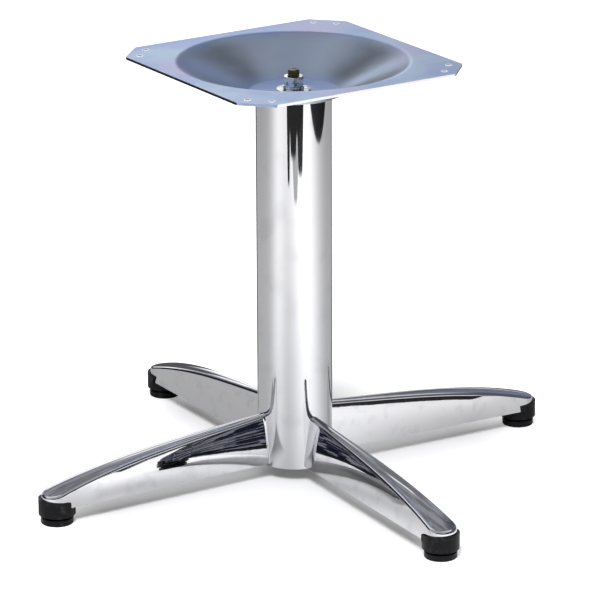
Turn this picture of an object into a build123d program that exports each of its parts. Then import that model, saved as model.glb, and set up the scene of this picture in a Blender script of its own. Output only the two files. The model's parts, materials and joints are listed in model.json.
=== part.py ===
"""Low pedestal table base: a pressed mounting plate with a conical dish, a chromed column,
four pressed channel legs on plastic caps with screw-in levelling glides, and the central
tie rod that clamps the plate onto the column.

Millimetres, +Z up, floor at z = 0, the column's axis on Z. The plate's sides are square to
X and Y. The legs point at the middles of the plate's sides, apart from leg_turn.
"""
import os
from math import asin, atan, cos, radians, sin, tan

from build123d import *

# Heights above the floor
plate_top = 434.0            # top face of the mounting plate
leg_edge = 18.5              # lower edge of the legs' side walls
column_foot = 15.3           # lower end of the column tube

# Mounting plate
plate_side = 263.5           # square, side to side
plate_sheet = 2.5            # sheet thickness
plate_corner = 28.0          # length cut off each corner, along the side
plate_corner_round = 5.0     # rounding where the cut corner meets the side
dish_rim_r = 116.0           # where the flat starts to fall into the dish
dish_floor_r = 45.0          # flat floor that sits on the column
dish_depth = 31.0            # flat top to dish floor, both on the upper face
dish_rim_bend = 9.0          # bend radius on the upper face at the rim
dish_floor_bend = 9.0        # bend radius on the upper face at the floor
screw_hole_r = 2.4           # table top screws
screw_near = 100.3           # hole centre, the smaller of its distances from the axes
screw_far = 117.3            # the larger one

# Column tube
column_r = 38.0
column_wall = 1.5

# Tie rod, its nuts and washers, and the plate that anchors it in the column
rod_r = 6.0
rod_top_end = 6.5            # thread standing out of the top nut
rod_foot_end = 3.2           # thread standing out of the bottom nut
rod_hole_gap = 0.6           # rod to the holes that it passes
rod_chamfer = 1.0
nut_flats = 19.0
nut_height = 10.0
nut_chamfer = 0.9
washer_r = 17.5
washer_thickness = 2.5
washer_edge = 0.4            # chamfer round the washers' outer edges
lock_washer_r = 10.6
lock_washer_wall = 3.8
lock_washer_height = 3.0
lock_washer_split = 1.6
lock_washer_skew = 25.0      # lean of the split, degrees
anchor_thickness = 5.0
anchor_recess = 17.0         # tube end up to the anchor plate's lower face
anchor_notch_r = 5.0         # drain and plating notches in the anchor plate's edge
anchor_weld_gap = 0.1

# Legs: pressed channel, open underneath, with drafted sides and a rounded tip
leg_sheet = 2.0
leg_draft = 8.0              # lean of the side walls, degrees
leg_turn = -2.1              # legs against the plate, which is clamped by one nut alone
glide_reach = 274.5          # column axis to glide axis
leg_root_half = 11.3         # half width over the lower edges at the column
leg_tip_r = 16.9             # tip radius at the lower edge, about the glide axis
leg_root_top = 51.4          # height of the leg over its lower edge at the column
leg_fall = 26.015            # fall of the arched top line from column to glide: linear share
leg_swell = 16.022           # its rise with the square of the distance
leg_drop = 24.879            # its fall with the cube of the distance
leg_ridge_round = 3.6        # rounding along the edges of the top face
leg_root_inset = 18.0        # how far the blank reaches into the column before it is trimmed
leg_top_points = 7           # points through which the arched top line is drawn

# End caps
cap_skirt = 9.5              # skirt below the leg's lower edge
cap_wall = 1.6               # wall outside the leg's lower edge
cap_wall_rise = 8.0          # wall above the leg's lower edge, at the tip
cap_wall_dip = 2.0           # how much lower the wall's ends are
cap_wall_run = 6.5           # wall's ends, inboard of the glide axis
cap_web = 2.0                # floor that the leg stands on
cap_fit = 0.1                # leg to cap
cap_edge = 0.6               # chamfer round the skirt's foot
cap_plug_rise = 4.5          # plug inside the channel
cap_plug_run = 12.0
cap_boss_wall = 2.2
cap_boss_cover = 0.6         # plastic over the insert's top
cap_stud_gap = 0.4           # stud to the hole over the insert, radial
cap_collar_gap = 0.7         # hole in the web to the corners of the glide's collar

# Threaded inserts moulded into the caps
insert_flats = 12.0
insert_height = 10.0
insert_seat = 0.3            # insert's flange over the leg's lower edge
insert_flange_r = 7.6
insert_flange = 1.5
insert_fit = 0.1             # stud to insert, radial

# Levelling glides: steel stud with a ball end, held in a plastic pad
stud_r = 4.0
stud_length = 12.5           # threaded length above the collar
stud_chamfer = 0.8
collar_flats = 13.0
collar_height = 5.0
neck_r = 2.4
neck_length = 0.4            # between ball and collar
ball_r = 3.6
ball_height = 5.2            # ball centre above the floor
ball_fit = 0.15
pad_r = 16.2
pad_side = 6.2               # straight side of the pad
pad_chamfer_in = 3.8
pad_chamfer_up = 2.3
pad_dip = 1.4                # hollow between the chamfer's top and the socket
pad_socket_r = 7.0
pad_socket_rise = 0.9        # socket's rim over the hollow
pad_slot = 1.2               # slots that let the socket snap over the ball
pad_foot_edge = 0.8          # chamfer round the foot
pad_to_skirt = 0.5

margin = 3.0                 # how far trimming solids reach past what they trim

# Worked out from the sizes above
dish_floor_z = plate_top - dish_depth
column_top = dish_floor_z - plate_sheet
column_bore = column_r - column_wall
cap_r = leg_tip_r + cap_wall
collar_z = ball_height + ball_r + neck_length
thread_z = collar_z + collar_height
insert_z = leg_edge + insert_seat
insert_corner_r = insert_flats / 2 / cos(radians(30))
collar_corner_r = collar_flats / 2 / cos(radians(30))

leg_directions = {
    "back_right": leg_turn,
    "back_left": leg_turn + 90,
    "front_left": leg_turn + 180,
    "front_right": leg_turn + 270,
}


def save(part, label):
    """Gives the finished piece its name and writes it as a STEP file."""
    part.label = label
    export_step(part, f"parts/{label}.step")


def leg_top(reach, sheet=0.0):
    """Height of the leg's arched top line, or of its underside one sheet thickness below."""
    run = glide_reach - column_r
    share = (reach - column_r) / run
    rise = leg_root_top - leg_fall * share + leg_swell * share**2 - leg_drop * share**3
    slope = (-leg_fall + 2 * leg_swell * share - 3 * leg_drop * share**2) / run
    return leg_edge + rise - sheet / cos(atan(slope))


def leg_frame(direction, reach=0.0, height=0.0):
    """Level plane whose local x axis runs out along a leg."""
    angle = radians(direction)
    return Plane(
        origin=(reach * cos(angle), reach * sin(angle), height),
        x_dir=(cos(angle), sin(angle), 0),
        z_dir=(0, 0, 1),
    )


def leg_side_plane(direction):
    """Upright plane through the leg's middle: local x runs outwards, local y runs up."""
    angle = radians(direction)
    return Plane(
        origin=(0, 0, 0),
        x_dir=(cos(angle), sin(angle), 0),
        z_dir=(sin(angle), -cos(angle), 0),
    )


def leg_outline(inset=0.0):
    """Plan of the lower edge: straight sides that widen to a tip round about the glide axis."""
    root_half = leg_root_half - inset
    tip_r = leg_tip_r - inset
    spread = asin((tip_r - root_half) / (glide_reach - column_r))
    tip = (glide_reach - tip_r * sin(spread), tip_r * cos(spread))
    start = column_r - leg_root_inset
    start_half = tip[1] - (tip[0] - start) * tan(spread)
    with BuildLine() as outline:
        Line((start, -start_half), (tip[0], -tip[1]))
        ThreePointArc((tip[0], -tip[1]), (glide_reach + tip_r, 0), tip)
        Polyline(tip, (start, start_half), (start, -start_half))
    return outline.line


def leg_blank(direction, sheet=0.0):
    """Outer form of a leg, or with a sheet thickness the hollow under it."""
    draft_inset = sheet / cos(radians(leg_draft))
    reach_start = column_r - leg_root_inset
    reach_end = glide_reach + leg_tip_r + margin
    step = (reach_end - reach_start) / (leg_top_points - 1)
    stations = [reach_start + step * i for i in range(leg_top_points)]
    with BuildPart() as blank:
        with BuildSketch(leg_frame(direction, height=leg_edge)):
            add(leg_outline(draft_inset))
            make_face()
        extrude(amount=leg_root_top + margin, taper=leg_draft)
        with BuildSketch(leg_side_plane(direction)):
            with BuildLine():
                Spline([(r, leg_top(r, sheet)) for r in stations])
                Polyline(
                    (reach_end, leg_top(reach_end, sheet)),
                    (reach_end, leg_edge),
                    (reach_start, leg_edge),
                    (reach_start, leg_top(reach_start, sheet)),
                )
            make_face()
        extrude(amount=leg_tip_r + margin, both=True, mode=Mode.INTERSECT)
        top = blank.faces().sort_by(Axis.Z)[-1]
        outwards = Axis((0, 0, 0), leg_frame(direction).x_dir)
        fillet(top.edges().sort_by(outwards)[1:], leg_ridge_round - sheet)
    return blank.part


os.makedirs("parts", exist_ok=True)

# Mounting plate: one pressed sheet, flat around a conical dish
with BuildPart() as top_plate:
    with BuildSketch(Plane.XY.offset(plate_top - plate_sheet)) as blank_outline:
        Rectangle(plate_side, plate_side)
        chamfer(blank_outline.vertices(), plate_corner)
        fillet(blank_outline.vertices(), plate_corner_round)
        Circle(dish_rim_r + dish_rim_bend, mode=Mode.SUBTRACT)
    extrude(amount=plate_sheet)
    with BuildSketch(Plane.XZ) as dish_section:
        with BuildLine():
            upper = FilletPolyline(
                (0, dish_floor_z),
                (dish_floor_r, dish_floor_z),
                (dish_rim_r, plate_top),
                (dish_rim_r + dish_rim_bend, plate_top),
                radius=dish_floor_bend,
            )
            offset(upper, amount=plate_sheet, side=Side.RIGHT)
        make_face()
    revolve(axis=Axis.Z)
    with Locations((0, 0, dish_floor_z)):
        Hole(rod_r + rod_hole_gap, depth=plate_sheet)
    with Locations((0, 0, plate_top)):
        with GridLocations(2 * screw_far, 2 * screw_near, 2, 2):
            Hole(screw_hole_r, depth=plate_sheet)
        with GridLocations(2 * screw_near, 2 * screw_far, 2, 2):
            Hole(screw_hole_r, depth=plate_sheet)
save(top_plate.part, "top_plate")

# Column: round tube, square at both ends, open at the lower one
with BuildPart() as column_tube:
    with BuildSketch(Plane.XY.offset(column_foot)):
        Circle(column_r)
        Circle(column_bore, mode=Mode.SUBTRACT)
    extrude(amount=column_top - column_foot)
save(column_tube.part, "column_tube")

# Anchor plate welded inside the column's lower end, notched for drainage
anchor_z = column_foot + anchor_recess
anchor_r = column_bore - anchor_weld_gap
with BuildPart() as rod_anchor_plate:
    with BuildSketch(Plane.XY.offset(anchor_z)):
        Circle(anchor_r)
        with PolarLocations(anchor_r, 4, start_angle=leg_turn + 45):
            Circle(anchor_notch_r, mode=Mode.SUBTRACT)
        Circle(rod_r + rod_hole_gap, mode=Mode.SUBTRACT)
    extrude(amount=anchor_thickness)
save(rod_anchor_plate.part, "rod_anchor_plate")

# Washers and nuts on the tie rod, upper set on the dish floor, lower set under the anchor plate
lock_washer_z = dish_floor_z + washer_thickness
top_nut_z = lock_washer_z + lock_washer_height
bottom_washer_z = anchor_z - washer_thickness
bottom_nut_z = bottom_washer_z - nut_height


def flat_washer(base_z):
    """Round washer whose lower face lies at base_z."""
    with BuildPart() as washer:
        with BuildSketch(Plane.XY.offset(base_z)):
            Circle(washer_r)
            Circle(rod_r + rod_hole_gap, mode=Mode.SUBTRACT)
        extrude(amount=washer_thickness)
        outer = washer.edges().filter_by(GeomType.CIRCLE).group_by(SortBy.RADIUS)[-1]
        chamfer(outer, washer_edge)
    return washer.part


def hex_nut(base_z):
    """Hexagon nut whose lower face lies at base_z, with both ends turned down at the corners."""
    corner_r = nut_flats / 2 / cos(radians(30))
    with BuildPart() as nut:
        with BuildSketch(Plane.XY.offset(base_z)):
            RegularPolygon(nut_flats / 2, 6, major_radius=False)
        extrude(amount=nut_height)
        with BuildSketch(Plane.XZ):
            with BuildLine():
                Polyline(
                    (0, base_z),
                    (corner_r - 2 * nut_chamfer, base_z),
                    (corner_r, base_z + nut_chamfer),
                    (corner_r, base_z + nut_height - nut_chamfer),
                    (corner_r - 2 * nut_chamfer, base_z + nut_height),
                    (0, base_z + nut_height),
                    close=True,
                )
            make_face()
        revolve(axis=Axis.Z, mode=Mode.INTERSECT)
        with Locations((0, 0, base_z + nut_height)):
            Hole(rod_r, depth=nut_height)
    return nut.part


save(flat_washer(dish_floor_z), "top_washer")
save(flat_washer(bottom_washer_z), "bottom_washer")
save(hex_nut(top_nut_z), "top_nut")
save(hex_nut(bottom_nut_z), "bottom_nut")

# Spring lock washer: split ring under the top nut
with BuildPart() as lock_washer:
    with BuildSketch(Plane.XY.offset(lock_washer_z)):
        Circle(lock_washer_r)
        Circle(lock_washer_r - lock_washer_wall, mode=Mode.SUBTRACT)
        with Locations((lock_washer_r, 0)):
            Rectangle(
                2 * lock_washer_wall, lock_washer_split, lock_washer_skew, mode=Mode.SUBTRACT
            )
    extrude(amount=lock_washer_height)
save(lock_washer.part, "lock_washer")

# Tie rod from under the bottom nut to above the top nut
rod_foot = bottom_nut_z - rod_foot_end
rod_head = top_nut_z + nut_height + rod_top_end
with BuildPart() as tie_rod:
    with BuildSketch(Plane.XY.offset(rod_foot)):
        Circle(rod_r)
    extrude(amount=rod_head - rod_foot)
    chamfer(tie_rod.edges().filter_by(GeomType.CIRCLE), rod_chamfer)
save(tie_rod.part, "tie_rod")


def build_leg(direction):
    """One pressed leg, trimmed to the column where it is welded on."""
    hollow = leg_blank(direction, leg_sheet)
    with BuildPart() as leg:
        add(leg_blank(direction))
        add(hollow, mode=Mode.SUBTRACT)
        with BuildSketch(Plane.XY.offset(leg_edge)):
            Circle(column_r)
        extrude(amount=leg_root_top + leg_tip_r, mode=Mode.SUBTRACT)
    return leg.part


def tip_outline(tip_r, run):
    """Plan about the glide axis: round tip with sides that run inboard."""
    Circle(tip_r)
    with Locations((-run / 2, 0)):
        Rectangle(run, 2 * tip_r)


def build_cap(direction):
    """Plastic end cap: hollow skirt, web, wall round the tip, plug in the channel, and boss."""
    tip = leg_frame(direction, glide_reach, leg_edge)
    with BuildPart() as wall:
        with BuildSketch(leg_side_plane(direction)):
            with BuildLine():
                Polyline(
                    (glide_reach - cap_wall_run, leg_edge - cap_web / 2),
                    (glide_reach + cap_r, leg_edge - cap_web / 2),
                    (glide_reach + cap_r, leg_edge + cap_wall_rise),
                    (glide_reach - cap_wall_run, leg_edge + cap_wall_rise - cap_wall_dip),
                    close=True,
                )
            make_face()
        extrude(amount=cap_r, both=True)
        with BuildSketch(tip.offset(-cap_web / 2)):
            tip_outline(cap_r, cap_wall_run)
        extrude(amount=cap_wall_rise + cap_web, mode=Mode.INTERSECT)
        with BuildSketch(leg_frame(direction, height=leg_edge)):
            add(leg_outline(-cap_fit))
            make_face()
        extrude(amount=cap_wall_rise + cap_web, taper=leg_draft, mode=Mode.SUBTRACT)
    with BuildPart() as cap:
        with BuildSketch(tip.offset(-cap_skirt)):
            Circle(cap_r)
        extrude(amount=cap_skirt)
        chamfer(cap.edges().filter_by(GeomType.CIRCLE).sort_by(Axis.Z)[0], cap_edge)
        add(wall.part)
        with BuildSketch(tip.offset(-cap_skirt)):
            Circle(pad_r + pad_to_skirt)
        extrude(amount=cap_skirt - cap_web, mode=Mode.SUBTRACT)
        with BuildSketch(leg_frame(direction, height=leg_edge)):
            add(leg_outline(leg_sheet / cos(radians(leg_draft)) + cap_fit))
            make_face()
            with Locations((glide_reach - cap_plug_run + leg_tip_r, 0)):
                Rectangle(2 * leg_tip_r, 2 * leg_tip_r, mode=Mode.INTERSECT)
        extrude(amount=cap_plug_rise, taper=leg_draft)
        with BuildSketch(tip):
            Circle(insert_corner_r + cap_boss_wall)
        extrude(amount=insert_z - leg_edge + insert_height + cap_boss_cover)
        with Locations(tip.offset(insert_z - leg_edge)):
            Hole(collar_corner_r + cap_collar_gap, depth=cap_skirt + insert_z - leg_edge)
        add(insert_body(direction), mode=Mode.SUBTRACT)
        with Locations(tip.offset(cap_boss_cover + insert_height + insert_z - leg_edge)):
            Hole(stud_r + cap_stud_gap, depth=cap_boss_cover)
    return cap.part


def insert_body(direction):
    """Threaded insert's outer form: round flange under a hexagon."""
    with BuildPart() as body:
        with BuildSketch(leg_frame(direction, glide_reach, insert_z)):
            Circle(insert_flange_r)
        extrude(amount=insert_flange)
        with BuildSketch(leg_frame(direction, glide_reach, insert_z)):
            RegularPolygon(insert_flats / 2, 6, major_radius=False)
        extrude(amount=insert_height)
    return body.part


def build_insert(direction):
    """Steel insert whose bore the glide's stud screws into."""
    with BuildPart() as insert:
        add(insert_body(direction))
        with Locations(leg_frame(direction, glide_reach, insert_z + insert_height)):
            Hole(stud_r + insert_fit, depth=insert_height)
    return insert.part


def build_stud(direction):
    """Steel glide stud: ball end, neck, hexagon collar and threaded shank."""
    axis_plane = leg_side_plane(direction)
    neck_z = ball_height + (ball_r**2 - neck_r**2) ** 0.5
    with BuildPart() as stud:
        with BuildSketch(axis_plane):
            with BuildLine():
                ThreePointArc(
                    (glide_reach, ball_height - ball_r),
                    (glide_reach + ball_r, ball_height),
                    (glide_reach + neck_r, neck_z),
                )
                Polyline(
                    (glide_reach + neck_r, neck_z),
                    (glide_reach + neck_r, collar_z + collar_height / 2),
                    (glide_reach, collar_z + collar_height / 2),
                    (glide_reach, ball_height - ball_r),
                )
            make_face()
        revolve(axis=Axis(leg_frame(direction, glide_reach).origin, (0, 0, 1)))
        with BuildSketch(leg_frame(direction, glide_reach, collar_z)):
            RegularPolygon(collar_flats / 2, 6, major_radius=False, rotation=30)
        extrude(amount=collar_height)
        with BuildSketch(leg_frame(direction, glide_reach, thread_z)):
            Circle(stud_r)
        extrude(amount=stud_length)
        chamfer(stud.edges().filter_by(GeomType.CIRCLE).sort_by(Axis.Z)[-1], stud_chamfer)
    return stud.part


def build_pad(direction):
    """Plastic glide pad: turned disc, hollow on top, with a slotted socket for the ball."""
    rim_r = pad_r - pad_chamfer_in
    rim_z = pad_side + pad_chamfer_up
    socket_top = rim_z - pad_dip + pad_socket_rise
    cavity_r = ball_r + ball_fit
    mouth_r = neck_r + ball_fit
    mouth_z = ball_height + (cavity_r**2 - mouth_r**2) ** 0.5
    with BuildPart() as pad:
        with BuildSketch(leg_side_plane(direction)):
            with BuildLine():
                Polyline(
                    (glide_reach, 0),
                    (glide_reach + pad_r, 0),
                    (glide_reach + pad_r, pad_side),
                    (glide_reach + rim_r, rim_z),
                    (glide_reach + pad_socket_r, rim_z - pad_dip),
                    (glide_reach + pad_socket_r, socket_top),
                    (glide_reach + mouth_r, socket_top),
                    (glide_reach + mouth_r, mouth_z),
                )
                ThreePointArc(
                    (glide_reach + mouth_r, mouth_z),
                    (glide_reach + cavity_r, ball_height),
                    (glide_reach, ball_height - cavity_r),
                )
                Line((glide_reach, ball_height - cavity_r), (glide_reach, 0))
            make_face()
        revolve(axis=Axis(leg_frame(direction, glide_reach).origin, (0, 0, 1)))
        foot_edge = pad.edges().filter_by(GeomType.CIRCLE).group_by(Axis.Z)[0]
        chamfer(foot_edge, pad_foot_edge)
        with BuildSketch(leg_frame(direction, glide_reach, rim_z - pad_dip)):
            Rectangle(2 * pad_socket_r + margin, pad_slot)
            Rectangle(pad_slot, 2 * pad_socket_r + margin)
        extrude(amount=pad_socket_rise, mode=Mode.SUBTRACT)
    return pad.part


for corner, direction in leg_directions.items():
    save(build_leg(direction), f"leg_{corner}")
    save(build_cap(direction), f"end_cap_{corner}")
    save(build_insert(direction), f"insert_{corner}")
    save(build_stud(direction), f"glide_stud_{corner}")
    save(build_pad(direction), f"glide_pad_{corner}")
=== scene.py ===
"""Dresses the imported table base: chromed column and channel legs, zinc plated mounting plate,
threaded hardware and black plastic feet, in a plain pale studio.

Lengths of the sub-assemblies and of the camera are millimetres, as on a drawing, and MM turns
them into metres. Finishes, floor and lamps count in metres and degrees, and noise in cells per
metre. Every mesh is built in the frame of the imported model, with its object at the origin.
"""
import json
import logging
from collections.abc import Callable, Iterable
from dataclasses import dataclass
from enum import Enum
from math import acos, asin, atan, cos, hypot, pi, radians, sin, tan

import bpy
from mathutils import Matrix, Vector


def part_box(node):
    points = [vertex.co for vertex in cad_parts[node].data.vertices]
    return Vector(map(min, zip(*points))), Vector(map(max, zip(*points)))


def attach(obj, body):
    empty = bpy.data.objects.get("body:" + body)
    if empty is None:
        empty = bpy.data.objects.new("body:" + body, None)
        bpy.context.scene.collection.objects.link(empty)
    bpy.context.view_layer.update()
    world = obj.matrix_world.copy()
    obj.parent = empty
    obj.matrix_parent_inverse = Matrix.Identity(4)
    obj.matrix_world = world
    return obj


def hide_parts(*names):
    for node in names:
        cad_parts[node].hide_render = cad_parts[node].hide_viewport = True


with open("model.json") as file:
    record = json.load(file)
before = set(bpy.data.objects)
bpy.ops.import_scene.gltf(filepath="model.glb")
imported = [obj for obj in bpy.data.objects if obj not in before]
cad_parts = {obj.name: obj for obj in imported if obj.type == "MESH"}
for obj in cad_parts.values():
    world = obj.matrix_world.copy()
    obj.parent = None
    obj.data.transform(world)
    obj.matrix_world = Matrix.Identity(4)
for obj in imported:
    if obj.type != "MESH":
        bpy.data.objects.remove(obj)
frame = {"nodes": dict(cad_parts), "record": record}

MM = 0.001
log = logging.getLogger("table_base")

# Sizes that more than one class needs: millimetres, and degrees from the corner's direction.
COLUMN_R = 38.0
LEG_TURN = -2.1
PLATE_SIDE = 263.5
SCREW_R = 2.4
SCREW_NEAR = 100.3
SCREW_FAR = 117.3

Colour = tuple[float, float, float]
Profile = list[tuple[float, float]]


class Corner(Enum):
    """The four legs by their corner, with the direction each points in, in degrees."""

    BACK_RIGHT = 0
    BACK_LEFT = 90
    FRONT_LEFT = 180
    FRONT_RIGHT = 270

    @property
    def tag(self) -> str:
        """The corner's name as the nodes spell it."""
        return self.name.lower()


class Slot(Enum):
    """Material slots of the record."""

    CHROME = "chrome"
    ZINC_PLATE = "zinc_plate"
    ZINC_STEEL = "zinc_plated_steel"
    CAP_PLASTIC = "black_plastic"
    GLIDE_PLASTIC = "glide_plastic"


class Sock:
    """A shader socket whose operators add Math nodes."""

    def __init__(self, graph: "Graph", socket: bpy.types.NodeSocket) -> None:
        """Wraps a socket of a graph."""
        self.graph = graph
        self.socket = socket

    def __add__(self, other: "Sock | float") -> "Sock":
        """Sum."""
        return self.graph.math("ADD", self, other)

    __radd__ = __add__

    def __sub__(self, other: "Sock | float") -> "Sock":
        """Difference."""
        return self.graph.math("SUBTRACT", self, other)

    def __rsub__(self, other: "Sock | float") -> "Sock":
        """Difference with this socket taken away."""
        return self.graph.math("SUBTRACT", other, self)

    def __mul__(self, other: "Sock | float") -> "Sock":
        """Product."""
        return self.graph.math("MULTIPLY", self, other)

    __rmul__ = __mul__

    def __truediv__(self, other: "Sock | float") -> "Sock":
        """Quotient."""
        return self.graph.math("DIVIDE", self, other)

    def __rtruediv__(self, other: "Sock | float") -> "Sock":
        """Quotient with this socket below."""
        return self.graph.math("DIVIDE", other, self)


class Graph:
    """A node tree that is filled by expressions."""

    def __init__(self, tree: bpy.types.NodeTree) -> None:
        """Starts on an emptied tree."""
        self.tree = tree
        tree.nodes.clear()

    def node(
        self, kind: str, settings: dict | None = None, inputs: dict | None = None
    ) -> bpy.types.Node:
        """Adds a node.

        Args:
            kind: the node's type name.
            settings: attributes that are set first, such as a Math node's operation.
            inputs: values or sockets by input name or index.

        Returns:
            The new node.
        """
        made = self.tree.nodes.new(kind)
        for key, value in (settings or {}).items():
            setattr(made, key, value)
        for key, value in (inputs or {}).items():
            self.feed(made.inputs[key], value)
        return made

    def feed(self, target: bpy.types.NodeSocket, value: object) -> None:
        """Fills an input.

        Args:
            target: the input.
            value: a socket, which is linked, or a plain value, which is set.
        """
        if isinstance(value, Sock):
            value = value.socket
        if isinstance(value, bpy.types.NodeSocket):
            self.tree.links.new(value, target)
        else:
            target.default_value = value

    def out(self, made: bpy.types.Node, name: str | int = 0) -> Sock:
        """One output of a node as an operand."""
        return Sock(self, made.outputs[name])

    def math(self, operation: str, *values: "Sock | float") -> Sock:
        """Adds a Math node of that operation."""
        made = self.node("ShaderNodeMath", {"operation": operation}, dict(enumerate(values)))
        return self.out(made)

    def ramp_between(self, value: Sock, low: float, high: float) -> Sock:
        """Smooth step: 0 at low, 1 at high.

        Args:
            value: what is compared.
            low: where the step starts.
            high: where the step ends.

        Returns:
            The step's value.
        """
        made = self.node(
            "ShaderNodeMapRange",
            {"interpolation_type": "SMOOTHSTEP", "clamp": True},
            {0: value, 1: low, 2: high, 3: 0.0, 4: 1.0},
        )
        return self.out(made)

    def blend(
        self, share: "Sock | float", first: "Sock | Colour", second: "Sock | Colour"
    ) -> Sock:
        """Mixes two colours.

        Args:
            share: how much of the second shows, 0 to 1.
            first: colour at a share of 0.
            second: colour at a share of 1.

        Returns:
            The mixed colour.
        """
        made = self.node(
            "ShaderNodeMix", {"data_type": "RGBA", "clamp_factor": True}, {0: share}
        )
        for index, colour in ((6, first), (7, second)):
            self.feed(made.inputs[index], (*colour, 1.0) if isinstance(colour, tuple) else colour)
        return self.out(made, 2)

    def place(self) -> bpy.types.NodeSocket:
        """Object coordinates of the surface."""
        return self.node("ShaderNodeTexCoord").outputs["Object"]

    def stretched(self, place: bpy.types.NodeSocket, scale: tuple) -> bpy.types.NodeSocket:
        """Coordinates scaled along each axis."""
        made = self.node("ShaderNodeMapping", None, {"Vector": place, "Scale": scale})
        return made.outputs["Vector"]

    def axes(self, place: bpy.types.NodeSocket) -> tuple[Sock, Sock, Sock]:
        """The three values of coordinates."""
        made = self.node("ShaderNodeSeparateXYZ", None, {0: place})
        return self.out(made, "X"), self.out(made, "Y"), self.out(made, "Z")

    def length(self, x: Sock, y: Sock) -> Sock:
        """Length of a vector in plan."""
        return self.math("SQRT", x * x + y * y)

    def heading(self, x: Sock, y: Sock) -> Sock:
        """Direction of a vector in plan, in degrees."""
        return self.math("ARCTAN2", y, x) * (180 / pi)

    def apart(self, turn: Sock, centre: float) -> Sock:
        """Degrees between a direction and a fixed one, the short way round."""
        return self.math("PINGPONG", turn - centre, 180.0)

    def noise(self, place: bpy.types.NodeSocket, scale: float, detail: float = 2.0) -> Sock:
        """Noise over coordinates.

        Args:
            place: the coordinates.
            scale: cells per metre.
            detail: octaves.

        Returns:
            A value about 0.5.
        """
        made = self.node(
            "ShaderNodeTexNoise", None, {"Vector": place, "Scale": scale, "Detail": detail}
        )
        return self.out(made)

    def bump(self, height: Sock, distance: float, over: Sock | None = None) -> Sock:
        """Tilts the surface as a relief would.

        Args:
            height: the relief, 0 to 1.
            distance: metres that a height of 1 stands for.
            over: another relief that this one lies on.

        Returns:
            The surface's new normal.
        """
        inputs = {"Height": height, "Distance": distance, "Strength": 1.0}
        if over is not None:
            inputs["Normal"] = over
        return self.out(self.node("ShaderNodeBump", None, inputs))

    def by_ray(self, seen: bpy.types.Node, mirrored: bpy.types.Node, other: bpy.types.Node) -> Sock:
        """Shows each kind of ray its own shader.

        Args:
            seen: what the camera sees.
            mirrored: what shows in reflections.
            other: what lights everything else.

        Returns:
            The mixed shader.
        """
        path = self.node("ShaderNodeLightPath")
        shown = other.outputs[0]
        for ray, shader in (("Is Glossy Ray", mirrored), ("Is Camera Ray", seen)):
            share = path.outputs[ray]
            made = self.node("ShaderNodeMixShader", None, {0: share, 1: shown, 2: shader.outputs[0]})
            shown = made.outputs[0]
        return Sock(self, shown)


@dataclass(frozen=True)
class Patches:
    """Soft patches: where a noise rises from low to high."""

    scale: float
    low: float
    high: float
    detail: float = 2.0

    def mask(self, graph: Graph, place: bpy.types.NodeSocket) -> Sock:
        """1 inside the patches, 0 between them."""
        return graph.ramp_between(graph.noise(place, self.scale, self.detail), self.low, self.high)


@dataclass(frozen=True)
class Lobe:
    """A soft peak round a direction: its middle and width in degrees, and its height."""

    centre: float
    width: float
    gain: float

    def level(self, graph: Graph, turn: Sock) -> Sock:
        """The peak's height at a direction."""
        gap = graph.apart(turn, self.centre) / self.width
        return graph.math("EXPONENT", gap * gap * -1.0) * self.gain


@dataclass(frozen=True)
class Finish:
    """A material around one Principled shader."""

    name: str = "finish"

    def fill(self, graph: Graph, shader: bpy.types.Node) -> None:
        """Feeds the shader.

        Args:
            graph: the material's graph.
            shader: its Principled shader.
        """
        raise NotImplementedError

    def material(self) -> bpy.types.Material:
        """Makes the material.

        Returns:
            The material, with its name and nodes.
        """
        material = bpy.data.materials.new(self.name)
        material.use_nodes = True
        graph = Graph(material.node_tree)
        shader = graph.node("ShaderNodeBsdfPrincipled")
        self.fill(graph, shader)
        graph.node("ShaderNodeOutputMaterial", None, {"Surface": shader.outputs[0]})
        return material


@dataclass(frozen=True)
class ChromeFinish(Finish):
    """Bright chrome over polished steel: a mirror with the faint waves of the metal under it."""

    name: str = "chrome"
    colour: Colour = (0.785, 0.79, 0.825)
    warm: Colour = (0.785, 0.78, 0.80)
    dull: Colour = (0.52, 0.52, 0.54)
    tint_scale: float = 9.0
    roughness: float = 0.012
    haze: float = 0.035
    haze_patches: Patches = Patches(14.0, 0.42, 0.80, 4.0)
    specks: Patches = Patches(420.0, 0.66, 0.80)
    # Greyer blotches: smudges, and on the legs also a mottled painted reflection.
    smudge_and_reflection: float = 0.25
    smudges_and_reflections: Patches = Patches(28.0, 0.50, 0.70, 5.0)
    grain: tuple = (1.0, 1.0, 0.25)
    wave_height: float = 0.000012
    wave_scale: float = 30.0
    ripple_height: float = 0.0000012
    ripple_scale: float = 130.0

    def fill(self, graph: Graph, shader: bpy.types.Node) -> None:
        """Feeds the shader.

        Args:
            graph: the material's graph.
            shader: its Principled shader.
        """
        place = graph.place()
        tint = graph.blend(graph.noise(place, self.tint_scale), self.colour, self.warm)
        # The colour turns greyer in soft blotches: smudges, and on the legs also a mottled painted
        # reflection.
        smudge_and_reflection = self.smudges_and_reflections.mask(graph, place) * self.smudge_and_reflection
        graph.feed(shader.inputs["Base Color"], graph.blend(smudge_and_reflection, tint, self.dull))
        graph.feed(shader.inputs["Metallic"], 1.0)
        haze = self.haze_patches.mask(graph, place) + self.specks.mask(graph, place)
        graph.feed(shader.inputs["Roughness"], haze * self.haze + self.roughness)
        drawn = graph.stretched(place, self.grain)
        waves = graph.bump(graph.noise(drawn, self.wave_scale, 1.0), self.wave_height)
        ripples = graph.bump(graph.noise(drawn, self.ripple_scale), self.ripple_height, waves)
        graph.feed(shader.inputs["Normal"], ripples)


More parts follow.
